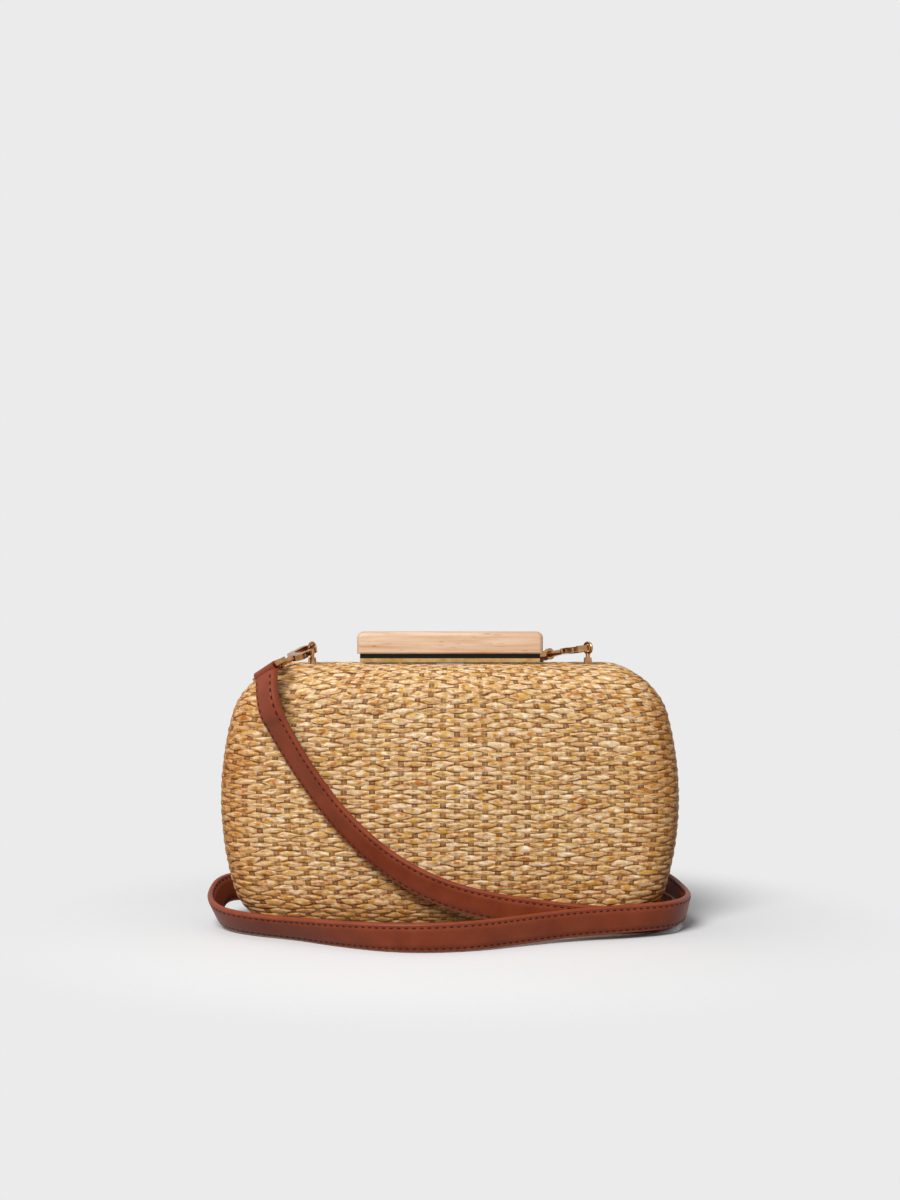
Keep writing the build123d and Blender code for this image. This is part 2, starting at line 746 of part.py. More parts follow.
def assembly():
    left_place = hook_plane(left_eye, left_hook_aim)
    right_place = hook_plane(right_eye, right_hook_aim)
    shapes = {}
    for name, side in (("front", -1), ("back", 1)):
        shapes[name + "_raffia_cover"] = raffia_cover(side)
        shapes[name + "_board_shell"] = board_shell(side)
        shapes[name + "_lining"] = lining(side)
        shapes[name + "_rim_frame"] = rim_frame(side)
        shapes[name + "_hinge_leaf"] = hinge_leaf(side)
    shapes["hinge_pin"] = hinge_pin()
    shapes["clasp_bracket"] = clasp_bracket()
    shapes["clasp_spring"] = clasp_spring()
    shapes["clasp_base"] = clasp_base()
    shapes["clasp_wood_bar"] = clasp_wood_bar()
    shapes["catch_leaf"] = catch_leaf()
    ends = (("left", -1, left_eye, left_place), ("right", 1, right_eye, right_place))
    for name, end, eye, place in ends:
        turn = ring_turn_left if end < 0 else ring_turn_right
        shapes["clasp_pivot_pin_" + name] = clasp_pivot_pin(end)
        shapes["clasp_screw_" + name] = clasp_screw(end)
        shapes[name + "_eye_stud"] = eye_stud(eye, place.y_dir)
        shapes[name + "_hook_body"] = hook_body(place)
        shapes[name + "_hook_trigger"] = hook_trigger(place)
        shapes[name + "_trigger_pin"] = trigger_pin(place)
        shapes[name + "_trigger_spring"] = trigger_spring(place)
        shapes[name + "_swivel_ring"] = swivel_ring(place, turn)
    shapes["shoulder_strap"] = shoulder_strap(left_place, right_place)
    return shapes


for node, shape in assembly().items():
    export_step(shape, "parts/" + node + ".step")
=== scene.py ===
import math
from itertools import product

import bmesh
import bpy
import numpy as np
from mathutils import Matrix, Vector


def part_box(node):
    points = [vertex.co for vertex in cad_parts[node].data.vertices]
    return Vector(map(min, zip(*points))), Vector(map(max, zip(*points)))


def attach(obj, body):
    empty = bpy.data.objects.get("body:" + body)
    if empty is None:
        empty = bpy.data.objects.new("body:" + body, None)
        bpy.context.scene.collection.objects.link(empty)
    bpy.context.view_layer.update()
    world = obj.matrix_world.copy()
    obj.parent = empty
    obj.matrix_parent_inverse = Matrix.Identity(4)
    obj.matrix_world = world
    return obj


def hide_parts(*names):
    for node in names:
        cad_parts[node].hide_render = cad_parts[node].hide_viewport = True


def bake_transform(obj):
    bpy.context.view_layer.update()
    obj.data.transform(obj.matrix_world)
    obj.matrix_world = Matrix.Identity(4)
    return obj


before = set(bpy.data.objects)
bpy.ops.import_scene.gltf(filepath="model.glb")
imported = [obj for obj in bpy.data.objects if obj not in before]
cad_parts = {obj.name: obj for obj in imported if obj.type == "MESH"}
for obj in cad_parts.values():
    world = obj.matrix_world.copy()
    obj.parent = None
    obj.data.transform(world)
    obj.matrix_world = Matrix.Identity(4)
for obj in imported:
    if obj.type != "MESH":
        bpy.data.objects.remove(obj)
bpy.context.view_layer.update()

mm = 0.001
tiny = 1e-9

# Camera, as the photograph was taken: low, from straight in front
camera_distance = 0.9126
camera_height = 159.2 * mm
camera_aim_height = 144 * mm
camera_lens_mm = 61.8
camera_sensor_mm = 36

# Case form, the same rounded rectangle as the solids
half_width = 100 * mm
case_top = 115.8 * mm
foot_press = 0.6 * mm
half_height = (case_top + foot_press) / 2
mid_height = (case_top - foot_press) / 2
half_depth = 29 * mm
edge_round = 17 * mm
crest_depth = 12 * mm
rim_depth = 3 * mm
rim_inset = 3.4 * mm
face_dome = 2 * mm
side_bow_share = 0.125
face_share = 0.60
crest_share = 0.88
corner_across_share = 0.21
top_corner_share = 0.36
bottom_corner_share = 0.34
lining_depth = 3.3 * mm
lining_ease = 1.3 * mm
lining_pitch = 2.5 * mm

# Rim frame: its bar on the rim, and its wall inside the cover, board and lining
frame_layers = 3.3 * mm
frame_fit = 0.1 * mm
frame_wall = 0.8 * mm
frame_wall_depth = 9 * mm
parting_gap = 0.1 * mm
rim_points = 360

# Flared foot of the studs
collar_foot = 2.3 * mm
collar_top = 1.7 * mm
collar_height = 6.2 * mm
collar_sides = 32

# Weave: flat raffia strips over groups of three thin warp cords
weft_pitch = 2.05 * mm
warp_pitch = 6.15 * mm
weft_steps = 5
warp_steps = 6
relief = 0.56 * mm
relief_middle_share = 0.35
hem_share = 0.06
window_share = 0.21
cord_height_share = 0.42
row_level_share = 0.6
level_steps = 200

# Wander of the rows and of single floats: how far, in strip widths, and how quickly it turns
row_wander = 0.07
row_wander_rate = 0.5
float_wander = 0.11
float_wander_rate = 3.4
wander_waves = 8
wander_seed = 5

# Floats: full in the middle, thin at their ends, with a rounded section
float_swell = 0.16
float_end_start = 0.06
float_end_run = 0.22
float_arch_share = 0.28
float_roundness = 2.6
least_fullness_share = 0.72
fullness_count = 512
fullness_seed = 8

# Strap: a band with rolled edges, sewn along both, folded round the rings
strap_width = 12.6 * mm
strap_thick = 2.8 * mm
fold_thick = 4.0 * mm
fold_length = 20 * mm
fold_taper = 1.5 * mm
fold_hole = 1.3 * mm
fold_wall = 0.9 * mm
fold_turns = 24
flat_share = 0.4
edge_share = 0.90
sew_inset_share = 0.72
groove_share = 0.08
sew_groove = 0.32 * mm
stitch_length = 2.1 * mm
stitch_pitch = 3.0 * mm
stitch_radius = 0.40 * mm
stitch_start_share = 0.6
stitch_sides = 6

# One stitch: shares of its length, of its radius, and how far it sinks in at that place
stitch_shares = ((0, 0.25, 0.9), (0.2, 0.9, 0.25), (0.5, 1, 0), (0.8, 0.9, 0.25), (1, 0.25, 0.9))

# Ring bars that the strap's ends are folded round
left_ring_bar = Vector((-78.6, -30.0, 113.9)) * mm
right_ring_bar = Vector((39.0, 24.7, 118.0)) * mm

# Strap route in mm: a point of the middle line, and the direction across the band
level = (0, 0, 1)
strap_route = [
    ((-78.4, -31.4, 112.1), (0.66, -0.56, 0.50)),
    ((-78.4, -39, 101.5), (0.60, -0.64, 0.48)),
    ((-71.5, -36, 87), (0.58, -0.66, 0.45)),
    ((-60, -35.5, 68), (0.55, -0.68, 0.46)),
    ((-45.5, -35.5, 49), (0.50, -0.62, 0.58)),
    ((-28, -36, 33), (0.40, -0.52, 0.75)),
    ((-8, -37.5, 21.5), (0.26, -0.38, 0.88)),
    ((14, -39, 14.8), (0.12, -0.24, 0.96)),
    ((40, -38.5, 10.6), (0.03, -0.15, 0.98)),
    ((66, -35, 7.6), (0, -0.30, 0.95)),
    ((90, -26, 6.0), (0.30, -0.40, 0.86)),
    ((96.5, -8, 5.6), (0.60, 0, 0.80)),
    ((97, 10, 5.6), (0.60, 0, 0.80)),
    ((91, 27.5, 6.4), (0.20, 0.10, 0.97)),
    ((69, 36, 6.7), level),
    ((30, 37, 6.7), level),
    ((-18, 37, 6.8), level),
    ((-63, 36.5, 8.5), level),
    ((-91, 30.5, 12.5), level),
    ((-102.5, 13, 14.5), (-0.20, 0, 0.98)),
    ((-104.8, -5, 8.8), (-0.40, 0, 0.92)),
    ((-99, -21, 6.6), (-0.45, -0.35, 0.82)),
    ((-86, -33, 6.0), (-0.25, -0.58, 0.78)),
    ((-66, -43, 5.8), (-0.15, -0.60, 0.78)),
    ((-46, -58, 6.2), (-0.10, -0.45, 0.88)),
    ((-20, -71, 6.6), (0, -0.25, 0.97)),
    ((8, -67, 6.6), (0, -0.15, 0.98)),
    ((32, -53, 7.2), (0, -0.15, 0.98)),
    ((54, -43.5, 8.4), (0.08, -0.15, 0.98)),
    ((77, -38, 9.0), (0.10, -0.15, 0.98)),
    ((96, -29.5, 9.2), (0.20, -0.20, 0.96)),
    ((104, -12, 9.4), (0.25, 0, 0.97)),
    ((104, 8, 9.8), (0.15, 0, 0.98)),
    ((101, 25, 12), level),
    ((88, 39.5, 17), (0.25, 0.10, 0.95)),
    ((72, 42, 28), (0.60, 0, 0.80)),
    ((60, 42, 44), (0.82, 0, 0.57)),
    ((49.5, 41, 62), (0.88, 0, 0.47)),
    ((41, 40, 80), (0.96, 0.08, 0.27)),
    ((35.6, 38.2, 98.5), (0.93, 0.33, 0.15)),
    ((32.6, 32.4, 111.5), (0.78, 0.62, 0.10)),
    ((37.8, 26.2, 116.8), (0.77, 0.64, 0)),
]

# Angles above which edges stay sharp or are eased, and below which faces are merged
sharp_angle = math.radians(50)
eased_sharp_angle = math.radians(40)
eased_angle = math.radians(38)
flat_angle = math.radians(1)
weld_gap = 0.002 * mm

# Light: lamps by name, place and size in metres, and watts; a pale room and table
lamps = (
    ("key_lamp", (-0.45, -1.25, 1.10), 0.8, 28.5),
    ("top_lamp", (-0.25, 0.15, 1.5), 0.9, 1.4),
)
room_strength = 0.24
table_reach = 1.2
table_fade_start = 0.11
table_fade_end = 0.22

collection = bpy.context.scene.collection


def linear(hex_colour):
    """Linear RGBA of an sRGB hex colour."""
    parts = [int(hex_colour[i:i + 2], 16) / 255 for i in (1, 3, 5)]
    return [p / 12.92 if p <= 0.04045 else ((p + 0.055) / 1.055) ** 2.4 for p in parts] + [1]


def add(tree, kind, settings=None, inputs=None, stops=()):
    """One node with its settings, its inputs or links, and the stops of a colour ramp."""
    node = tree.nodes.new(kind)
    for name, value in (settings or {}).items():
        setattr(node, name, value)
    for socket, value in (inputs or {}).items():
        if isinstance(value, bpy.types.NodeSocket):
            tree.links.new(value, node.inputs[socket])
        else:
            node.inputs[socket].default_value = value
    for index, (place, colour) in enumerate(stops):
        elements = node.color_ramp.elements
        element = elements[index] if index < 2 else elements.new(place)
        element.position = place
        element.color = linear(colour)
    return node


def start_material(name, roughness, metallic=0.0):
    """New material with its shader; the callers feed colour, roughness and bump."""
    material = bpy.data.materials.new(name)
    material.use_nodes = True
    tree = material.node_tree
    shader = tree.nodes["Principled BSDF"]
    shader.inputs["Roughness"].default_value = roughness
    shader.inputs["Metallic"].default_value = metallic
    return material, tree, shader


def ramp(tree, factor, stops):
    """Colour that a factor picks between these stops."""
    return add(tree, "ShaderNodeValToRGB", {}, {"Fac": factor}, stops).outputs["Color"]


def mixed(tree, factor, under, colour, blend="MIX"):
    """A colour laid over another."""
    settings = {"data_type": "RGBA", "blend_type": blend}
    return add(tree, "ShaderNodeMix", settings, {"Factor": factor, 6: under, 7: colour}).outputs[2]


def object_place(tree):
    """Places on the piece, in metres."""
    return add(tree, "ShaderNodeTexCoord").outputs["Object"]


def cloud_noise(tree, place, size_mm, detail=2.0):
    """Noise with clouds of about this size."""
    inputs = {"Vector": place, "Scale": 1 / (size_mm * mm), "Detail": detail}
    return add(tree, "ShaderNodeTexNoise", {}, inputs).outputs["Fac"]


def long_noise(tree, place, sizes_mm, detail, distortion=0.0):
    """Noise with streaks of about these sizes along X, Y and Z."""
    scale = [1 / (size * mm) for size in sizes_mm]
    mapped = add(tree, "ShaderNodeMapping", {}, {"Vector": place, "Scale": scale}).outputs[0]
    inputs = {"Vector": mapped, "Scale": 1.0, "Detail": detail, "Distortion": distortion}
    return add(tree, "ShaderNodeTexNoise", {}, inputs).outputs["Fac"]


def bumped(tree, shader, height, strength, depth):
    """Fine relief in the shading."""
    inputs = {"Height": height, "Strength": strength, "Distance": depth}
    tree.links.new(add(tree, "ShaderNodeBump", {}, inputs).outputs["Normal"], shader.inputs["Normal"])


# Camera

def place_camera():
    """Camera at the photograph's viewing angle."""
    data = bpy.data.cameras.new("camera")
    data.sensor_fit = "VERTICAL"
    data.sensor_height = camera_sensor_mm
    data.lens = camera_lens_mm
    camera = bpy.data.objects.new("camera", data)
    collection.objects.link(camera)
    camera.location = (0, -camera_distance, camera_height)
    aim = Vector((0, 0, camera_aim_height))
    camera.rotation_euler = (aim - camera.location).to_track_quat("-Z", "Y").to_euler()
    bpy.context.scene.camera = camera


# Materials

def woven_raffia():
    """Split raffia palm, plain-woven: dry matt strips from cream to burnt tan, with fibre streaks."""
    material, tree, shader = start_material("woven_raffia", 0.62)
    shader.inputs["Specular IOR Level"].default_value = 0.3
    # Places in the weave, counted in warps across and strips up
    place = add(tree, "ShaderNodeUVMap", {"uv_map": "weave"}).outputs["UV"]
    split = add(tree, "ShaderNodeSeparateXYZ", {}, {"Vector": place})
    across, up = split.outputs["X"], split.outputs["Y"]

    def maths(operation, first, second=0.0, third=0.0):
        settings = {"operation": operation}
        return add(tree, "ShaderNodeMath", settings, {0: first, 1: second, 2: third}).outputs[0]

    def noise(long_mm, wide_mm, shift, detail):
        scale = (warp_pitch / (long_mm * mm), weft_pitch / (wide_mm * mm), 1)
        moved = {"Vector": place, "Scale": scale, "Location": (shift, shift, 0)}
        mapped = add(tree, "ShaderNodeMapping", {}, moved).outputs[0]
        inputs = {"Vector": mapped, "Scale": 1.0, "Detail": detail}
        return add(tree, "ShaderNodeTexNoise", {}, inputs).outputs["Fac"]

    def patches(source, start, end, most):
        limits = {"Value": source, "From Min": start, "From Max": end, "To Max": most}
        return add(tree, "ShaderNodeMapRange", {"interpolation_type": "SMOOTHSTEP"}, limits).outputs[0]

    # Which strip, and which of its floats, a place belongs to
    strip = maths("FLOOR", up)
    float_number = maths("ROUND", maths("MULTIPLY", maths("SUBTRACT", across, strip), 0.5))
    float_name = add(tree, "ShaderNodeCombineXYZ", {}, {"X": float_number, "Y": strip}).outputs[0]
    chance = add(tree, "ShaderNodeTexWhiteNoise", {"noise_dimensions": "2D"}, {"Vector": float_name})
    tone = chance.outputs["Value"]
    # Fibres 0.4 mm wide and 6 mm long, and bleached or darker lengths of about 3 mm
    fibre = noise(5.591, 0.41, 0, 3.0)
    patch = noise(2.674, 1.079, 7, 3.0)
    shade = maths("MULTIPLY_ADD", tone, 0.26, maths("MULTIPLY_ADD", fibre, 1.8, -0.90))
    shade = maths("ADD", maths("MULTIPLY_ADD", patch, 1.6, -0.80), shade)
    straw = ramp(tree, maths("ADD", shade, 0.40), [
        (0.08, "#8E5822"), (0.92, "#F6E6CC"), (0.28, "#BF8A46"), (0.48, "#D9B074"), (0.68, "#E8CA9E")])
    # Pinkish, ochre and burnt patches, 4 to 5 mm long
    pinkish = patches(noise(3.844, 1.708, 21, 2.0), 0.52, 0.64, 0.55)
    ochre = patches(noise(4.1, 1.577, 33, 2.0), 0.54, 0.64, 0.80)
    burnt = patches(noise(4.731, 1.281, 52, 3.0), 0.57, 0.66, 0.90)
    strips = mixed(tree, pinkish, straw, linear("#DFB08C"))
    strips = mixed(tree, ochre, strips, linear("#D49E30"))
    strips = mixed(tree, burnt, strips, linear("#BC6C20"))
    # Window between two floats, 2.6 mm wide, with warp cords and dark gaps of painted shade between them,
    # clearer in some places
    warp = maths("ROUND", across)
    beside = maths("ABSOLUTE", maths("SUBTRACT", across, warp))
    under = maths("MODULO", maths("ADD", warp, strip), 2.0)
    window = maths("MULTIPLY", under, maths("LESS_THAN", beside, window_share))
    cords = ramp(tree, beside, [
        (0.03, "#B07A42"), (0.21, "#220F06"), (0.065, "#220F06"), (0.105, "#A8723A"), (0.155, "#7A5028")])
    open_share = maths("ADD", patches(noise(6.833, 2.278, 90, 1.0), 0.36, 0.58, 0.40), 0.60)
    cloth = mixed(tree, maths("MULTIPLY", window, open_share), strips, cords)
    # Shade in the line between two strips, deeper in some places than in others
    edge = maths("PINGPONG", maths("FRACT", up), 0.5)
    line = ramp(tree, edge, [
        (0.0, "#43270F"), (0.26, "#FFFFFF"), (0.07, "#8C643C"), (0.14, "#E0CCAC")])
    depth = patches(noise(5.591, 1.864, 71, 1.0), 0.38, 0.62, 1.0)
    shaded = mixed(tree, depth, cloth, line, "MULTIPLY")
    # Painted shade: darkens the strips at the two ends of the case and round its foot, where less light falls
    spot = add(tree, "ShaderNodeSeparateXYZ", {}, {"Vector": object_place(tree)})
    ends = patches(maths("ABSOLUTE", spot.outputs["X"]), half_width * 0.72, half_width, 1.0)
    foot = patches(maths("SUBTRACT", case_top, spot.outputs["Z"]), case_top * 0.70, case_top, 1.0)
    painted_end_and_foot_shade = mixed(tree, maths("MAXIMUM", ends, foot), shaded, linear("#EDD3B2"), "MULTIPLY")
    tree.links.new(painted_end_and_foot_shade, shader.inputs["Base Color"])
    # Round back of each float, and the fibres on it
    section = maths("SQRT", maths("MULTIPLY", edge, 2.0))
    height = maths("MULTIPLY_ADD", fibre, 0.5, maths("MULTIPLY", section, 0.6))
    bumped(tree, shader, height, 0.5, 0.4 * mm)
    return material


def tanned_leather():
    """Drum-dyed cowhide with a light wax: red-brown, fine pebble grain, soft gloss."""
    material, tree, shader = start_material("tanned_leather", 0.45)
    shader.inputs["Specular IOR Level"].default_value = 0.3
    place = object_place(tree)
    # Grain cells about 0.6 mm across, drawn near twice life size to show
    cells = add(tree, "ShaderNodeTexVoronoi", {"feature": "DISTANCE_TO_EDGE"},
                {"Vector": place, "Scale": 1 / (1.1 * mm)})
    cloud = cloud_noise(tree, place, 9, 6.0)
    dye = ramp(tree, cloud, [(0.30, "#7F3519"), (0.72, "#914326")])
    gloss = add(tree, "ShaderNodeMapRange", {}, {"Value": cloud, "To Min": 0.40, "To Max": 0.55})
    tree.links.new(dye, shader.inputs["Base Color"])
    tree.links.new(gloss.outputs[0], shader.inputs["Roughness"])
    bumped(tree, shader, cells.outputs["Distance"], 0.3, 0.15 * mm)
    return material


def waxed_thread():
    """Waxed polyester sewing thread: dark red-brown, with a twist that breaks the shine."""
    material, tree, shader = start_material("waxed_thread", 0.6)
    shader.inputs["Specular IOR Level"].default_value = 0.2
    twist = cloud_noise(tree, object_place(tree), 0.5)
    dye = ramp(tree, twist, [(0.3, "#260B06"), (0.7, "#44180E")])
    tree.links.new(dye, shader.inputs["Base Color"])
    return material


def planed_beech():
    """Steamed beech, planed and oiled: pinkish straw with long fine grain and short dark flecks."""
    material, tree, shader = start_material("planed_beech", 0.48)
    place = object_place(tree)
    # Growth rings about 1.4 mm apart, running along the bar, and flecks 6 mm long
    grain = long_noise(tree, place, (35.71, 2.381, 1.4286), 4.0, 0.4)
    fleck = long_noise(tree, place, (6.25, 0.66667, 0.66667), 1.0)
    rings = ramp(tree, grain, [(0.30, "#C99A76"), (0.70, "#E6C8AC"), (0.5, "#DAB594")])
    flecks = ramp(tree, fleck, [(0.28, "#B98A62"), (0.36, "#FFFFFF")])
    wood = mixed(tree, 0.55, rings, flecks, "MULTIPLY")
    tree.links.new(wood, shader.inputs["Base Color"])
    bumped(tree, shader, grain, 0.12, 0.2 * mm)
    return material


def polished_metal(name, dark, bright, roughness, wear_and_reflection_mm):
    """Cast or drawn metal, polished and plated: clear reflections, clouded a little by handling, with painted
    reflections as dark and bright patches in its colour.
    """
    material, tree, shader = start_material(name, roughness, 1.0)
    cloud = cloud_noise(tree, object_place(tree), wear_and_reflection_mm, 3.0)
    # Painted reflection: dark and bright patches in the colour, as if the room were reflected; the roughness
    # clouding below is handling
    plate = ramp(tree, cloud, [(0.3, dark), (0.7, bright)])
    gloss = add(tree, "ShaderNodeMapRange", {},
                {"Value": cloud, "To Min": roughness * 0.7, "To Max": roughness * 1.4})
    tree.links.new(plate, shader.inputs["Base Color"])
    tree.links.new(gloss.outputs[0], shader.inputs["Roughness"])
    return material


def plated_base():
    """Pressed channel, gold-plated: bright, then a black band painted under the wood as the dark reflection
    and shade of the overhanging wood bar.
    """
    material, tree, shader = start_material("plated_base", 0.16, 1.0)
    shader.inputs["Specular IOR Level"].default_value = 0.2
    place = object_place(tree)
    split = add(tree, "ShaderNodeSeparateXYZ", {}, {"Vector": place})
    low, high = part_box("clasp_base")
    # Painted dark reflection and shade: the upper part of the base is painted black and not metal, under the
    # overhanging wood bar
    line = low.z + (high.z - low.z) * 0.42
    band = add(tree, "ShaderNodeMapRange", {},
               {"Value": split.outputs["Z"], "From Min": line, "From Max": line + 0.15 * mm}).outputs[0]
    plate = ramp(tree, cloud_noise(tree, place, 4), [(0.3, "#C4924E"), (0.7, "#E2B878")])
    metal = add(tree, "ShaderNodeMath", {"operation": "SUBTRACT"}, {0: 1.0, 1: band})
    tree.links.new(mixed(tree, band, plate, linear("#0E0B09")), shader.inputs["Base Color"])
    tree.links.new(metal.outputs[0], shader.inputs["Metallic"])
    return material


def twill_lining():
    """Cotton twill glued to the board: matt sand colour with a fine slanting line."""
    material, tree, shader = start_material("twill_lining", 0.85)
    place = object_place(tree)
    # Twill lines 1.6 mm apart, drawn twice life size to show; the wave turns 20 radians per scale
    turned = add(tree, "ShaderNodeMapping", {}, {"Vector": place, "Rotation": (0, 0.7, 0)}).outputs[0]
    wave_scale = 2 * math.pi / (20 * 1.6 * mm)
    rib = add(tree, "ShaderNodeTexWave", {"bands_direction": "X"},
              {"Vector": turned, "Scale": wave_scale, "Distortion": 0.3})
    dye = ramp(tree, cloud_noise(tree, place, 12, 5.0), [(0.3, "#C9B08C"), (0.7, "#DCC8A8")])
    tree.links.new(dye, shader.inputs["Base Color"])
    bumped(tree, shader, rib.outputs["Fac"], 0.35, 0.2 * mm)
    return material


def grey_board():
    """Pressed paper board: matt grey-brown with short fibres."""
    material, tree, shader = start_material("grey_board", 0.9)
    fibre = cloud_noise(tree, object_place(tree), 1.5, 4.0)
    pulp = ramp(tree, fibre, [(0.3, "#8A8073"), (0.7, "#A99E8F")])
    tree.links.new(pulp, shader.inputs["Base Color"])
    return material


# Case form

def row_limit(row):
    """How far a row reaches across before it meets the rounded corner."""
    corner = np.where(row > 0, top_corner_share, bottom_corner_share)
    past = np.clip((np.abs(row) - (1 - corner)) / corner, 0, 1)
    return 1 - corner_across_share + corner_across_share * np.sqrt(1 - past * past)


def outline_level(across, row):
    """0 at the middle of the face, 1 on the rim."""
    corner = np.where(row > 0, top_corner_share, bottom_corner_share)
    a, b = np.abs(across), np.abs(row)
    side_start, end_start = 1 - corner_across_share, 1 - corner
    square = (a / corner_across_share) ** 2 + (b / corner) ** 2
    middle = a * side_start / corner_across_share ** 2 + b * end_start / corner ** 2
    rest = (side_start / corner_across_share) ** 2 + (end_start / corner) ** 2 - 1
    straight = np.maximum(np.maximum(a, b), tiny)
    root = middle * middle - square * rest
    in_corner = (a / straight > side_start) & (b / straight > end_start) & (root > 0)
    rounded = square / np.maximum(middle + np.sqrt(np.maximum(root, 0)), tiny)
    return np.where(in_corner, rounded, straight)


def level_turns(at_level):
    """Angles along the rounded edge and along the turned rim."""
    crest_turn = math.pi / 2 * (at_level - face_share) / (crest_share - face_share)
    rim_turn = math.pi / 2 * (at_level - crest_share) / (1 - crest_share)
    return crest_turn, rim_turn


def level_run(at_level, half, inset):
    """Distance from the middle of the face along one half of the case."""
    crest_turn, rim_turn = level_turns(at_level)
    flat = half - edge_round
    crest = flat + (edge_round - inset) * np.sin(crest_turn)
    rim = half - inset - rim_inset * (1 - np.cos(rim_turn))
    outer = np.where(at_level <= crest_share, crest, rim)
    return np.where(at_level <= face_share, flat * at_level / face_share, outer)


def level_depth(at_level, inset):
    """Distance from the parting plane."""
    crest_turn, rim_turn = level_turns(at_level)
    edge = half_depth - inset - face_dome
    crest = edge - (edge - crest_depth) * (1 - np.cos(crest_turn))
    rim = crest_depth - (crest_depth - rim_depth) * np.sin(rim_turn)
    outer = np.where(at_level <= crest_share, crest, rim)
    face = half_depth - inset - face_dome * (at_level / face_share) ** 2
    return np.where(at_level <= face_share, face, outer)


def case_points(column, row, inset, side):
    """Points of a half, inset from its outer form; side is -1 in front and 1 behind."""
    across = column * row_limit(row)
    at_level = outline_level(across, row)
    rise = row / at_level * level_run(at_level, half_height, inset)
    bow = 1 - side_bow_share * (rise / half_height) ** 2
    width = across / at_level * level_run(at_level, half_width, inset) * bow
    height = np.maximum(mid_height + rise, np.maximum(inset, 0))
    return np.stack([width, side * level_depth(at_level, inset), height], axis=-1)


def surface_runs(half):
    """Lengths along the surface of the face, the rounded edge and the turned rim."""
    edge_height = half_depth - face_dome - crest_depth
    rim_height = crest_depth - rim_depth
    return [
        half - edge_round,
        math.pi / 2 * math.sqrt((edge_round ** 2 + edge_height ** 2) / 2),
        math.pi / 2 * math.sqrt((rim_inset ** 2 + rim_height ** 2) / 2),
    ]


def levels_at(distance, half):
    """Levels at distances from the middle, measured along the surface."""
    stops = np.cumsum([0] + surface_runs(half))
    return np.sign(distance) * np.interp(np.abs(distance), stops, [0, face_share, crest_share, 1])


def grid_object(name, points, material, flip, uv=None):
    """Mesh of a grid of points, row by row, with its places in the weave."""
    rows, columns = points.shape[:2]
    index = np.arange(rows * columns).reshape(rows, columns)
    corners = [index[:-1, :-1], index[:-1, 1:], index[1:, 1:], index[1:, :-1]]
    if flip:
        corners.reverse()
    faces = np.stack(corners, axis=-1).reshape(-1, 4)
    mesh = bpy.data.meshes.new(name)
    mesh.from_pydata(points.reshape(-1, 3).tolist(), [], faces.tolist())
    if uv is not None:
        layer = mesh.uv_layers.new(name="weave")
        layer.data.foreach_set("uv", uv.reshape(-1, 2)[faces.ravel()].astype(np.float32).ravel())
    mesh.materials.append(material)
    mesh.shade_smooth()
    piece = bpy.data.objects.new(name, mesh)
    collection.objects.link(piece)
    return piece


def surface_normals(points, side):
    """Directions out of a half, at each point of its grid."""
    along = np.gradient(points, axis=1)
    up = np.gradient(points, axis=0)
    normals = np.cross(along, up)
    lengths = np.linalg.norm(normals, axis=-1, keepdims=True)
    return normals / np.maximum(lengths, tiny) * -side


def wandering(warp_place, weft_place, seed):
    """Wander of the strips, in strip widths: rows drift slowly and no two floats are quite alike."""
    draw = np.random.RandomState(seed)
    wander = np.zeros(warp_place.shape)
    for amount, rate in ((row_wander, row_wander_rate), (float_wander, float_wander_rate)):
        for wave in range(wander_waves):
            rate_across, rate_up = draw.uniform(-rate, rate, 2)
            turn = rate_across * warp_place + rate_up * weft_place + draw.uniform(0, 2 * math.pi)
            wander += amount / 2 * np.sin(turn)
    return wander


def level_rows(row, column):
    """How far along the surface a row moves so that it stays nearly level round the corners."""
    at_level = outline_level(column * row_limit(row), row)
    reach = np.minimum(at_level, crest_share)
    rise = row / at_level * level_run(reach, half_height, 0)
    stops = np.cumsum([0] + surface_runs(half_height)[:2])
    levels = np.linspace(0, crest_share, level_steps)
    runs = np.interp(levels, [0, face_share, crest_share], stops)
    straight = np.interp(np.abs(rise), level_run(levels, half_height, 0), runs)
    bent = np.interp(np.abs(row) * reach / at_level, levels, runs)
    return row_level_share * np.sign(row) * (straight - bent)


def weave_relief(warp_place, weft_place, seed):
    """Height of a plain weave, as a share, at places counted in warps and strips."""
    draw = np.random.RandomState(seed)
    strip = np.floor(weft_place)
    part = weft_place - strip
    wave = (1 + np.cos(math.pi * (warp_place - strip))) / 2
    float_number = np.round((warp_place - strip) / 2)
    fullness = draw.uniform(least_fullness_share, 1.0, (fullness_count, fullness_count))
    full = fullness[strip.astype(int) % fullness_count, float_number.astype(int) % fullness_count]
    end = np.clip((wave - float_end_start) / float_end_run, 0, 1)
    arch = 1 - float_arch_share * (1 - wave)
    section = 1 - np.abs(2 * part - 1) ** float_roundness
    floats = full * np.sqrt(end) * arch * section
    beside = np.abs(warp_place - np.round(warp_place)) / window_share
    cords = cord_height_share * np.sqrt(np.maximum(1 - beside ** 2, 0))
    return np.maximum(floats, cords)


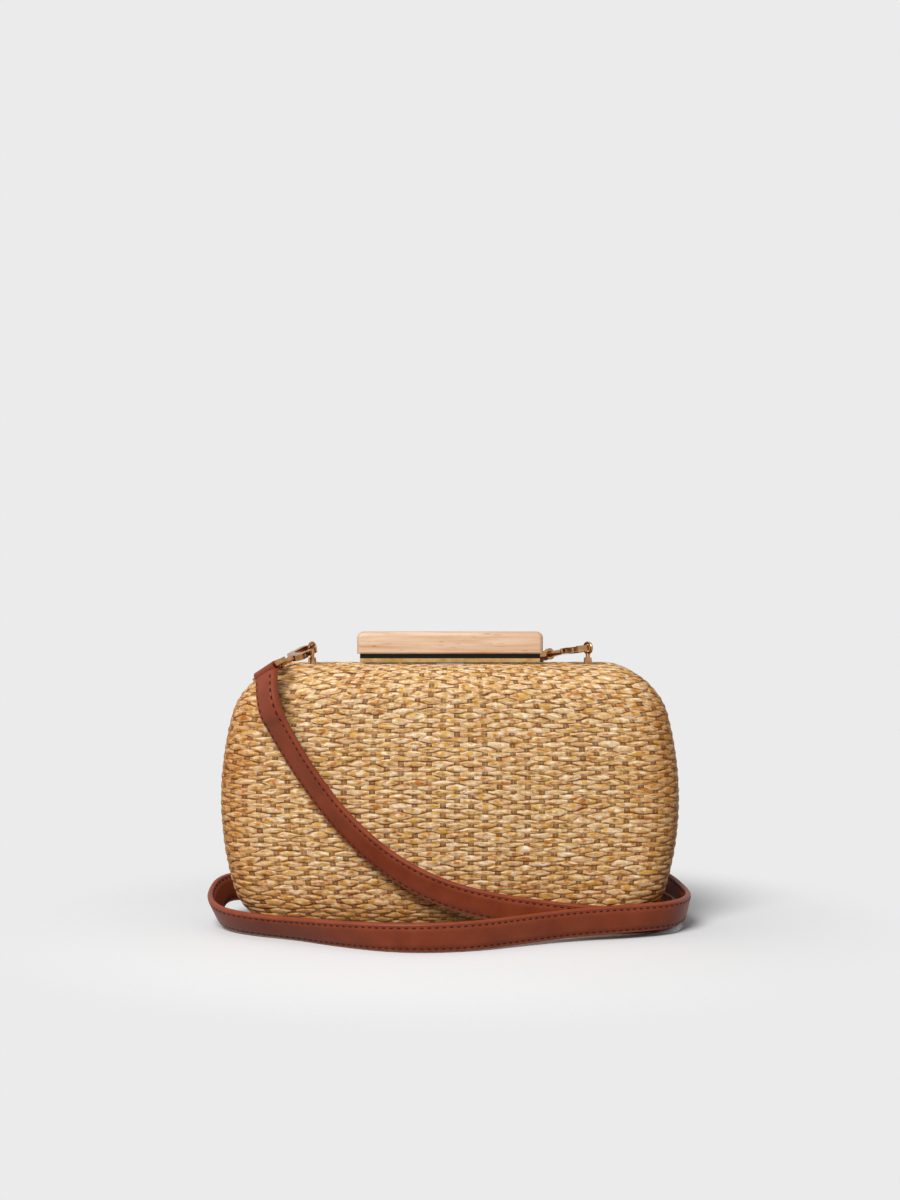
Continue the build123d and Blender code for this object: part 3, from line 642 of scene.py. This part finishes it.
def raffia_cover(name, side, material):
    """Woven cover over one half: the case form raised strip by strip."""
    run_up, run_across = sum(surface_runs(half_height)), sum(surface_runs(half_width))
    wefts, warps = round(2 * run_up / weft_pitch), round(2 * run_across / warp_pitch)
    up = np.linspace(-run_up, run_up, wefts * weft_steps + 1)
    across = np.linspace(-run_across, run_across, warps * warp_steps + 1)
    row, column = np.meshgrid(levels_at(up, half_height), levels_at(across, half_width), indexing="ij")
    weft_place, warp_place = np.meshgrid(
        np.linspace(0, wefts, len(up)), np.linspace(0, warps, len(across)), indexing="ij")
    weft_place = weft_place + level_rows(row, column) * wefts / (2 * run_up)
    weft_place = weft_place + wandering(warp_place, weft_place, wander_seed + side)
    # A float swells in its middle, over the ends of the floats above and below it
    swell = np.cos(math.pi * warp_place)
    swell = swell * (1.5 - 0.5 * swell * swell)
    weft_place = weft_place + float_swell * swell * np.cos(math.pi * weft_place)
    points = case_points(column, row, 0, side)
    height = weave_relief(warp_place, weft_place, fullness_seed + side) - relief_middle_share
    hem = np.clip((1 - np.maximum(np.abs(row), np.abs(column))) / hem_share, 0, 1)
    points = points + surface_normals(points, side) * (relief * height * hem)[..., None]
    points[..., 2] = np.maximum(points[..., 2], 0)
    return grid_object(name, points, material, side > 0, np.stack([warp_place, weft_place], axis=-1))


def lining(name, side, material):
    """Twill lining inside one half, eased off the board at its rounded edge."""
    run_up, run_across = sum(surface_runs(half_height)), sum(surface_runs(half_width))
    up = np.linspace(-run_up, run_up, 2 * round(run_up / lining_pitch) + 1)
    across = np.linspace(-run_across, run_across, 2 * round(run_across / lining_pitch) + 1)
    row, column = np.meshgrid(levels_at(up, half_height), levels_at(across, half_width), indexing="ij")
    edge = np.maximum(np.abs(row), np.abs(column))
    inset = lining_depth + lining_ease * np.clip((1 - edge) / (1 - crest_share), 0, 1)
    points = case_points(column, row, inset, side)
    return grid_object(name, points, material, side < 0)


def rim_loop(inset, depth, side):
    """Closed loop over the outline of the mouth, at a depth from the parting plane."""
    turn = np.linspace(0, 2 * math.pi, rim_points + 1)
    across, row = np.cos(turn), np.sin(turn)
    at_level = outline_level(across, row)
    rise = row / at_level * (half_height - inset - rim_inset)
    bow = 1 - side_bow_share * (rise / half_height) ** 2
    width = across / at_level * (half_width - inset - rim_inset) * bow
    height = np.maximum(mid_height + rise, inset)
    return np.stack([width, np.full_like(width, side * depth), height], axis=-1)


def rim_frame(name, side, material):
    """Rim casting with smooth corners: a bar that meets the other half, and a wall inside the lining."""
    outer = frame_layers + frame_fit
    inner = outer + frame_wall
    places = [
        (0, parting_gap), (0, rim_depth), (outer, rim_depth), (outer, frame_wall_depth),
        (inner, frame_wall_depth), (inner, parting_gap), (0, parting_gap),
    ]
    points = np.array([rim_loop(inset, depth, side) for inset, depth in places])
    piece = grid_object(name, points, material, side > 0)
    piece.data.set_sharp_from_angle(angle=sharp_angle)
    return piece


# Strap

def spline_points(name, control):
    """Points read from a smooth spline with these control points."""
    curve = bpy.data.curves.new(name, "CURVE")
    curve.dimensions = "3D"
    curve.resolution_u = 12
    spline = curve.splines.new("NURBS")
    spline.points.add(len(control) - 1)
    for point, place in zip(spline.points, control):
        point.co = (*place, 1)
    spline.order_u = 3
    spline.use_endpoint_u = True
    holder = bpy.data.objects.new(name, curve)
    collection.objects.link(holder)
    bpy.context.view_layer.update()
    mesh = bpy.data.meshes.new_from_object(holder)
    points = [vertex.co.copy() for vertex in mesh.vertices]
    bpy.data.objects.remove(holder)
    bpy.data.curves.remove(curve)
    bpy.data.meshes.remove(mesh)
    return points


def strap_stations():
    """Middle points, directions across and off the band, and distances along it."""
    middles = spline_points("strap_middle", [Vector(point) * mm for point, across in strap_route])
    sides = spline_points("strap_side", [
        Vector(point) * mm + Vector(across).normalized() * strap_width for point, across in strap_route])
    stations = []
    distance = 0.0
    for index, middle in enumerate(middles):
        before = middles[max(index - 1, 0)]
        after = middles[min(index + 1, len(middles) - 1)]
        along = (after - before).normalized()
        across = sides[index] - middle
        across = (across - along * across.dot(along)).normalized()
        distance += (middle - before).length
        stations.append((middle, along, across, along.cross(across), distance))
    return stations


def band_section():
    """Half the section of the band, from one edge to the other: places across and off it."""
    half = strap_thick / 2
    flat = strap_width / 2 - half
    section = []
    for turn in (-90, -60, -30):
        angle = math.radians(turn)
        section.append((half * math.sin(angle) - flat, half * math.cos(angle)))
    groove = [sew_inset_share - groove_share, sew_inset_share, sew_inset_share + groove_share]
    one_side = [flat_share] + groove + [edge_share]
    for share in [-place for place in reversed(one_side)] + [0] + one_side:
        sewn = abs(abs(share) - sew_inset_share) < tiny
        place = share * strap_width / 2
        if abs(place) < flat:
            section.append((place, half - (sew_groove if sewn else 0)))
    for turn in (30, 60):
        angle = math.radians(turn)
        section.append((flat + half * math.sin(angle), half * math.cos(angle)))
    return section


def band_thick(distance, whole):
    """The band is doubled where it is folded back over a ring bar."""
    from_end = min(distance, whole - distance)
    past = (from_end - fold_length) / fold_taper
    return fold_thick + (strap_thick - fold_thick) * min(max(past, 0), 1)


def join_loops(bm, loops, closed=False):
    """Faces from each loop of points to the next: a bar with two ends, or a closed turn."""
    for loop, following in zip(loops, loops[1:] + loops[:1] if closed else loops[1:]):
        for k in range(len(loop)):
            after = (k + 1) % len(loop)
            bm.faces.new((loop[k], loop[after], following[after], following[k]))
    if not closed:
        bm.faces.new(loops[0][::-1])
        bm.faces.new(loops[-1])


def mesh_piece(bm, name, material):
    """Smooth piece from a built mesh, with its faces turned outwards."""
    bmesh.ops.recalc_face_normals(bm, faces=bm.faces)
    mesh = bpy.data.meshes.new(name)
    bm.to_mesh(mesh)
    bm.free()
    mesh.materials.append(material)
    mesh.shade_smooth()
    piece = bpy.data.objects.new(name, mesh)
    collection.objects.link(piece)
    return piece


def shoulder_strap(stations, material):
    """The band along its stations, with its turns round the two ring bars."""
    bm = bmesh.new()
    whole = stations[-1][4]
    half_section = band_section()
    section = half_section + [(-a, -n) for a, n in half_section]
    loops = []
    for middle, along, across, off, distance in stations:
        grow = band_thick(distance, whole) / strap_thick
        loops.append([bm.verts.new(middle + across * a + off * (n * grow)) for a, n in section])
    join_loops(bm, loops)
    for station, bar in ((stations[0], left_ring_bar), (stations[-1], right_ring_bar)):
        strap_sleeve(bm, bar, station[2])
    piece = mesh_piece(bm, "shoulder_strap_band", material)
    piece.data.set_sharp_from_angle(angle=sharp_angle)
    return piece


def spoke_loop(bm, middle, first, second, radius, count):
    """Ring of points round a middle, in the plane of two directions."""
    turns = [2 * math.pi * k / count for k in range(count)]
    return [bm.verts.new(middle + (first * math.cos(t) + second * math.sin(t)) * radius) for t in turns]


def strap_sleeve(bm, bar, across):
    """The turn of the band round a ring bar."""
    out = across.orthogonal().normalized()
    up = across.cross(out)
    outer = fold_hole + fold_wall
    loops = []
    for radius, end in ((outer, -1), (outer, 1), (fold_hole, 1), (fold_hole, -1)):
        middle = bar + across * (end * strap_width / 2)
        loops.append(spoke_loop(bm, middle, out, up, radius, fold_turns))
    join_loops(bm, loops, closed=True)


def strap_stitches(stations, material):
    """Sewing along both edges, on both faces of the band."""
    bm = bmesh.new()
    distances = np.array([station[4] for station in stations])
    whole = distances[-1]
    count = int((whole - stitch_pitch) / stitch_pitch)
    for face, edge, number in product((-1, 1), (-1, 1), range(count)):
        start = (number + stitch_start_share) * stitch_pitch
        loops = []
        for share, radius_share, sink_share in stitch_shares:
            distance = start + share * stitch_length
            after = min(int(np.searchsorted(distances, distance)), len(stations) - 1)
            low, high = stations[after - 1], stations[after]
            blend = (distance - low[4]) / max(high[4] - low[4], tiny)
            across = low[2].lerp(high[2], blend).normalized()
            off = low[3].lerp(high[3], blend).normalized() * face
            lift = band_thick(distance, whole) / 2 - sew_groove - sink_share * stitch_radius
            aside = edge * sew_inset_share * strap_width / 2
            middle = low[0].lerp(high[0], blend) + across * aside + off * lift
            loops.append(spoke_loop(bm, middle, across, off, radius_share * stitch_radius, stitch_sides))
        join_loops(bm, loops)
    return mesh_piece(bm, "strap_stitches", material)


# Hard pieces

def dress(piece, node, body):
    """The piece stands for a node and rides on its body."""
    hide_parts(node)
    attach(piece, body)


def eased_piece(node, body, slot, material, edge):
    """A hard piece with its sharp edges eased, so that they catch the light."""
    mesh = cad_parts[node].data.copy()
    mesh.materials.clear()
    mesh.materials.append(material)
    bm = bmesh.new()
    bm.from_mesh(mesh)
    bmesh.ops.remove_doubles(bm, verts=bm.verts, dist=weld_gap)
    bmesh.ops.dissolve_limit(bm, angle_limit=flat_angle, verts=bm.verts, edges=bm.edges)
    if node.endswith("eye_stud"):
        low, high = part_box(node)
        height = case_top - rim_inset + collar_height / 2
        middle = Vector(((low.x + high.x) / 2, (low.y + high.y) / 2, height))
        bmesh.ops.create_cone(bm, cap_ends=True, segments=collar_sides, radius1=collar_foot,
                              radius2=collar_top, depth=collar_height, matrix=Matrix.Translation(middle))
    bm.to_mesh(mesh)
    bm.free()
    piece = bpy.data.objects.new("eased_" + node, mesh)
    collection.objects.link(piece)
    ease = piece.modifiers.new("ease", "BEVEL")
    ease.width = edge
    ease.segments = 2
    ease.limit_method = "ANGLE"
    ease.angle_limit = eased_angle
    ease.use_clamp_overlap = True
    mesh.shade_smooth()
    mesh.set_sharp_from_angle(angle=eased_sharp_angle)
    dress(piece, node, body)


# Studio

def seen_directly(tree):
    """1 for what the camera sees, also in metal or through glass, and 0 for the light on the object."""
    path = add(tree, "ShaderNodeLightPath")
    larger = {"operation": "MAXIMUM"}
    seen = add(tree, "ShaderNodeMath", larger,
               {0: path.outputs["Is Camera Ray"], 1: path.outputs["Is Glossy Ray"]})
    through = {0: seen.outputs[0], 1: path.outputs["Is Transmission Ray"]}
    return add(tree, "ShaderNodeMath", larger, through).outputs[0]


def studio():
    """Pale room, soft lamps and a table."""
    scene = bpy.context.scene
    scene.view_settings.view_transform = "Standard"
    world = bpy.data.worlds.new("studio")
    world.use_nodes = True
    scene.world = world
    tree = world.node_tree
    tree.nodes.clear()
    light = add(tree, "ShaderNodeBackground", {}, {"Color": linear("#FFFFFF"), "Strength": room_strength})
    back = add(tree, "ShaderNodeBackground", {}, {"Color": linear("#EBEBEB"), "Strength": 1.0})
    room = add(tree, "ShaderNodeMixShader", {},
               {0: seen_directly(tree), 1: light.outputs[0], 2: back.outputs[0]})
    add(tree, "ShaderNodeOutputWorld", {}, {"Surface": room.outputs[0]})
    for row in lamps:
        lamp(*row)
    table()


def lamp(name, place, size, watts):
    """Round soft lamp, aimed at the middle of the case."""
    data = bpy.data.lights.new(name, "AREA")
    data.shape = "DISK"
    data.size = size
    data.energy = watts
    piece = bpy.data.objects.new(name, data)
    piece.location = place
    aim = Vector((0, 0, case_top / 2)) - piece.location
    piece.rotation_euler = aim.to_track_quat("-Z", "Y").to_euler()
    collection.objects.link(piece)


def table():
    """Pale table top that fades into the backdrop."""
    mesh = bpy.data.meshes.new("table_top")
    signs = ((-1, -1), (1, -1), (1, 1), (-1, 1))
    mesh.from_pydata([(x * table_reach, y * table_reach, 0) for x, y in signs], [], [(0, 1, 2, 3)])
    material = bpy.data.materials.new("white_table")
    material.use_nodes = True
    tree = material.node_tree
    tree.nodes.clear()
    far = add(tree, "ShaderNodeVectorMath", {"operation": "LENGTH"}, {0: object_place(tree)})
    fade = add(tree, "ShaderNodeMapRange", {"interpolation_type": "SMOOTHSTEP"},
               {"Value": far.outputs["Value"], "From Min": table_fade_start, "From Max": table_fade_end})
    tint = mixed(tree, seen_directly(tree), linear("#707070"), linear("#F3F4F5"))
    paint = add(tree, "ShaderNodeBsdfDiffuse", {}, {"Color": tint})
    clear = add(tree, "ShaderNodeBsdfTransparent")
    top = add(tree, "ShaderNodeMixShader", {}, {0: fade.outputs[0], 1: paint.outputs[0], 2: clear.outputs[0]})
    add(tree, "ShaderNodeOutputMaterial", {}, {"Surface": top.outputs[0]})
    mesh.materials.append(material)
    piece = bpy.data.objects.new("table_top", mesh)
    collection.objects.link(piece)


# Putting it together

place_camera()

raffia = woven_raffia()
leather = tanned_leather()
thread = waxed_thread()
beech = planed_beech()
pale_gold = polished_metal("polished_pale_gold", "#9C6C42", "#CFA06E", 0.13, 4)
frame_gold = polished_metal("plated_frame", "#B98F55", "#D9B67F", 0.24, 8)
spring_steel = polished_metal("spring_steel", "#8E8E8C", "#B8B8B4", 0.28, 3)
base_plate = plated_base()
twill = twill_lining()
board = grey_board()

for half, side, body in (("front", -1, "front_case"), ("back", 1, "back_case")):
    cover = raffia_cover(half + "_woven_cover", side, raffia)
    dress(cover, half + "_raffia_cover", body)
    cloth = lining(half + "_twill_lining", side, twill)
    dress(cloth, half + "_lining", body)
    casting = rim_frame(half + "_smooth_frame", side, frame_gold)
    dress(casting, half + "_rim_frame", body)

stations = strap_stations()
strap = shoulder_strap(stations, leather)
stitches = strap_stitches(stations, thread)
for piece in (strap, stitches):
    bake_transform(piece)
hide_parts("shoulder_strap")

eased = [
    ("clasp_wood_bar", "clasp_bar", "wood", beech, 0.5 * mm),
    ("clasp_base", "clasp_bar", "gold_metal", base_plate, 0.25 * mm),
]
for side in ("left", "right"):
    eased.append((side + "_eye_stud", "front_case", "gold_metal", pale_gold, 0.2 * mm))
    eased.append((side + "_hook_body", "front_case", "gold_metal", pale_gold, 0.35 * mm))
    eased.append((side + "_hook_trigger", side + "_trigger", "gold_metal", pale_gold, 0.25 * mm))
    eased.append((side + "_swivel_ring", side + "_swivel", "gold_metal", pale_gold, 0.35 * mm))
for row in eased:
    eased_piece(*row)

plain_finish = {
    "front_board_shell": board, "back_board_shell": board,
    "front_hinge_leaf": frame_gold, "back_hinge_leaf": frame_gold, "hinge_pin": spring_steel,
    "clasp_bracket": frame_gold, "clasp_spring": spring_steel, "catch_leaf": spring_steel,
    "clasp_pivot_pin_left": spring_steel, "clasp_pivot_pin_right": spring_steel,
    "clasp_screw_left": spring_steel, "clasp_screw_right": spring_steel,
    "left_trigger_pin": pale_gold, "right_trigger_pin": pale_gold,
    "left_trigger_spring": spring_steel, "right_trigger_spring": spring_steel,
}
for node, material in plain_finish.items():
    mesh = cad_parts[node].data
    mesh.materials.clear()
    mesh.materials.append(material)

studio()
